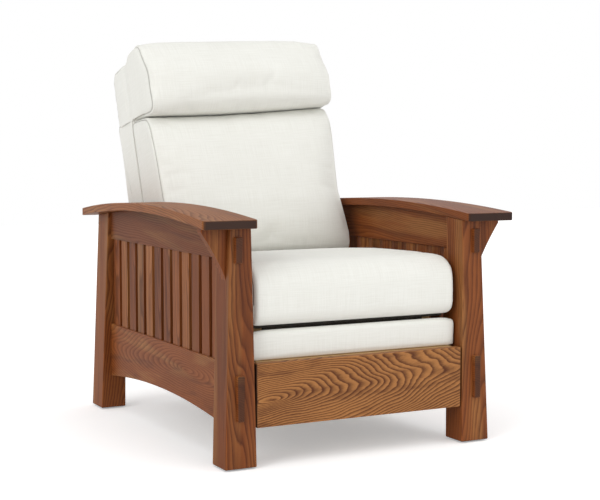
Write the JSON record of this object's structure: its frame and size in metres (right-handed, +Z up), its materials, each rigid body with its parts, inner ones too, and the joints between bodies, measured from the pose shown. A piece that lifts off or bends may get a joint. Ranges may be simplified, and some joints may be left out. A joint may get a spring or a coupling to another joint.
{
  "type": "reclining armchair",
  "caption": "Mission reclining armchair in oak with slatted sides, bowed arms, padded cushions, a tilting back and a swing-out footrest.",
  "frame": {"origin": "centre of the bounding box at floor level, where the legs' glides stand", "axes": "+X to the sitter's left, +Y to the back of the chair, +Z up"},
  "size_m": [0.888, 1.0234, 1.0787],
  "materials": {
    "oak": "satin lacquer over a brown stain",
    "plain_wood": "bare",
    "linen": "woven, matt",
    "webbing": "woven bands",
    "deck_cloth": "platform cloth over board",
    "felt": "pressed felt",
    "steel": "black, satin"
  },
  "bodies": {
    "frame": {"front_left_leg": "oak", "front_right_leg": "oak", "rear_left_leg": "oak", "rear_right_leg": "oak", "left_arm": "oak", "right_arm": "oak", "left_upper_rail": "oak", "right_upper_rail": "oak", "left_lower_rail": "oak", "right_lower_rail": "oak", "left_slats": "oak", "right_slats": "oak", "left_corbel": "oak", "right_corbel": "oak", "rear_stretcher": "oak", "leg_glides": "felt", "arm_dowels": "plain_wood", "corbel_dowels": "plain_wood", "seat_left_rail": "plain_wood", "seat_right_rail": "plain_wood", "seat_front_rail": "plain_wood", "seat_rear_rail": "plain_wood", "left_seat_bearer": "plain_wood", "right_seat_bearer": "plain_wood", "seat_bolts": "steel", "seat_webbing": "webbing", "seat_deck": "deck_cloth", "seat_cushion": "linen", "left_side_plate": "steel", "right_side_plate": "steel", "frame_rivets": "steel"},
    "back": {"back_left_post": "plain_wood", "back_right_post": "plain_wood", "back_bottom_rail": "plain_wood", "back_middle_rail": "plain_wood", "back_top_rail": "plain_wood", "back_webbing": "webbing", "outer_back": "linen", "back_cap": "linen", "back_cushion": "linen", "headrest": "linen", "back_left_plate": "steel", "back_right_plate": "steel", "back_pivot_pins": "steel"},
    "lift_links": {"left_lift_link": "steel", "right_lift_link": "steel", "torque_tube": "steel", "lift_rivets": "steel"},
    "reach_links": {"left_reach_link": "steel", "right_reach_link": "steel", "reach_rivets": "steel"},
    "control_links": {"left_control_link": "steel", "right_control_link": "steel"},
    "footrest": {"footrest_board": "oak", "footrest_backing": "plain_wood", "footrest_pad": "linen", "left_footrest_bracket": "steel", "right_footrest_bracket": "steel", "footrest_screws": "steel"}
  },
  "joints": [
    {"name": "back_recline", "type": "hinge", "parent": "frame", "child": "back", "pos_m": [0, 0.14577, 0.4], "axis": [-1, 0, 0], "range_deg": [0, 26]},
    {"name": "link_lift", "type": "hinge", "parent": "frame", "child": "lift_links", "pos_m": [0, -0.32022, 0.283], "axis": [-1, 0, 0], "range_deg": [0, 60]},
    {"name": "link_reach", "type": "hinge", "parent": "lift_links", "child": "reach_links", "pos_m": [0, -0.36498, 0.1035], "axis": [-1, 0, 0], "range_deg": [-120, 0]},
    {"name": "footrest_turn", "type": "hinge", "parent": "reach_links", "child": "footrest", "pos_m": [0, -0.38432, 0.28748], "axis": [-1, 0, 0], "range_deg": [0, 144]},
    {"name": "link_control", "type": "hinge", "parent": "frame", "child": "control_links", "pos_m": [0, -0.33022, 0.30772], "axis": [-1, 0, 0], "range_deg": [0, 58.04]}
  ],
  "couplings": [
    {"joint": "link_lift", "follows": "back_recline", "ratio": 2.3077},
    {"joint": "link_reach", "follows": "back_recline", "ratio": -4.6154},
    {"joint": "footrest_turn", "follows": "back_recline", "ratio": 5.5385},
    {"joint": "link_control", "follows": "back_recline", "ratio": 2.2323}
  ]
}
